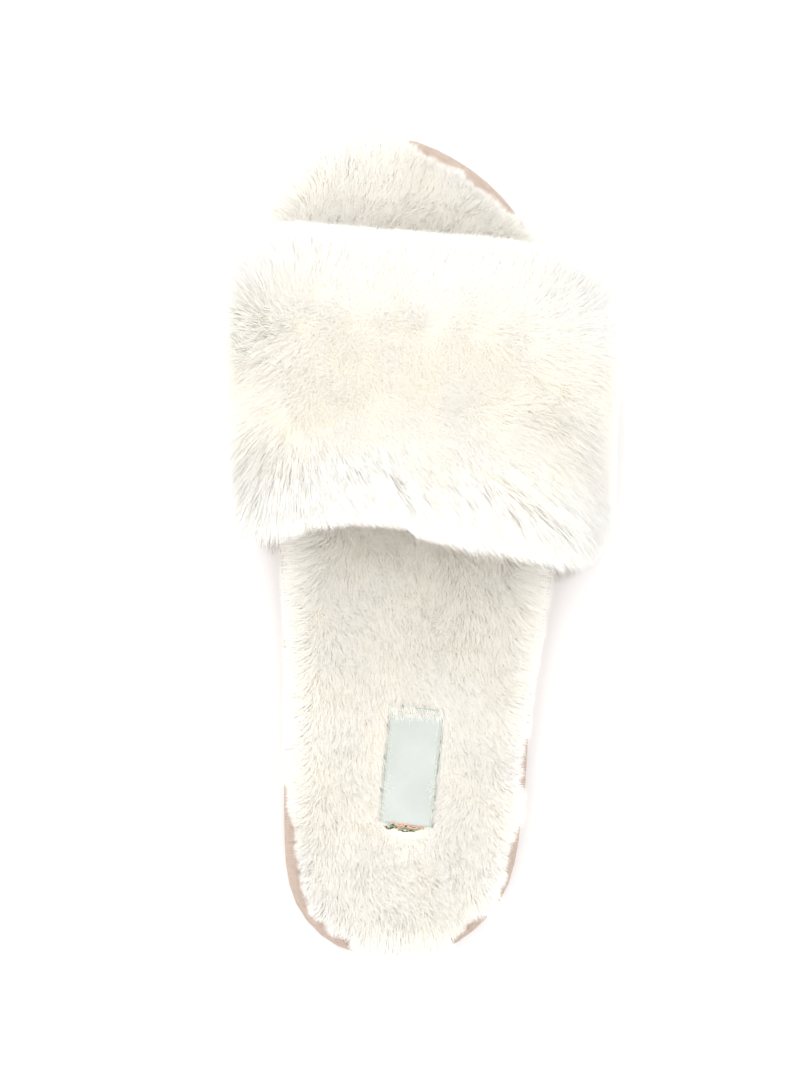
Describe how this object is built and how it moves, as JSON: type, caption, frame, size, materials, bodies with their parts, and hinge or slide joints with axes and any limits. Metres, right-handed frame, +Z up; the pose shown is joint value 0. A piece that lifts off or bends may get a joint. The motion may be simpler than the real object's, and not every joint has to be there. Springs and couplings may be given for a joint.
{
  "type": "fluffy slide slipper",
  "caption": "Open-toe, open-back house slipper for the right foot: a wide long-pile shearling strap over a fabric-wrapped platform with a shearling footbed and a ribbon label.",
  "frame": {"origin": "on the ground, below the middle of the slipper's bounding box", "axes": "+Y to the toe, +X to the little-toe side, +Z up from the ground"},
  "size_m": [0.1154, 0.2516, 0.0895],
  "materials": {
    "outsole_rubber": "matte",
    "filler_felt": "matte",
    "midsole_foam": "matte",
    "insole_fibreboard": "matte",
    "cushion_foam": "matte",
    "wrap_fabric": "matte",
    "strap_pile": "matte",
    "footbed_pile": "matte",
    "lining_fleece": "matte",
    "label_ribbon": "satin",
    "seam_thread": "satin"
  },
  "bodies": {
    "root": {"outsole": "outsole_rubber", "bottom_filler": "filler_felt", "midsole": "midsole_foam", "insole_board": "insole_fibreboard", "cushion_foam": "cushion_foam", "footbed_shearling": "footbed_pile", "sole_wrap": "wrap_fabric", "wrap_seam_stitching": "seam_thread", "rim_stitching": "seam_thread", "strap_shearling": "strap_pile", "strap_interlining": "cushion_foam", "strap_lining": "lining_fleece", "strap_front_stitching": "seam_thread", "strap_rear_stitching": "seam_thread", "strap_inner_side_stitching": "seam_thread", "strap_outer_side_stitching": "seam_thread", "woven_label": "label_ribbon", "label_front_stitching": "seam_thread", "label_rear_stitching": "seam_thread"}
  },
  "joints": []
}
